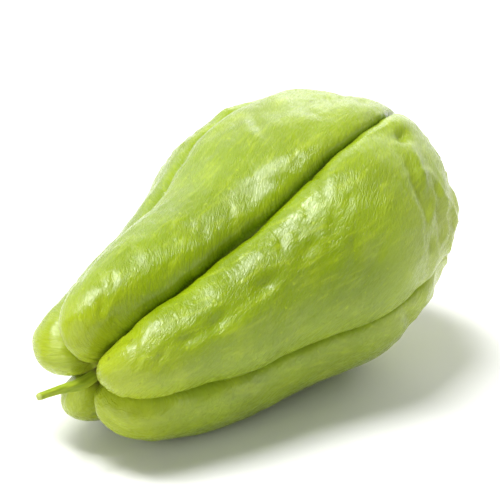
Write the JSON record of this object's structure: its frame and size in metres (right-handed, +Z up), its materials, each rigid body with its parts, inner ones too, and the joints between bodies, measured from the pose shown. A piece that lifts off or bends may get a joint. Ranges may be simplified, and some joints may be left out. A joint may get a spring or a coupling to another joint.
{
  "type": "chayote squash",
  "caption": "Whole picked chayote squash lying on its side: a pear-shaped, deeply furrowed green fruit with a short stem stub in the pit at its narrow end.",
  "frame": {"origin": "centre of the bounding box, on the surface that the fruit lies on", "axes": "+X along the fruit from the stem end to the blossom end, +Z up"},
  "size_m": [0.1526, 0.0934, 0.0756],
  "materials": {
    "fruit_skin": "satin",
    "stem": "matte"
  },
  "bodies": {
    "root": {"fruit": "fruit_skin", "stem_stub": "stem"}
  },
  "joints": []
}
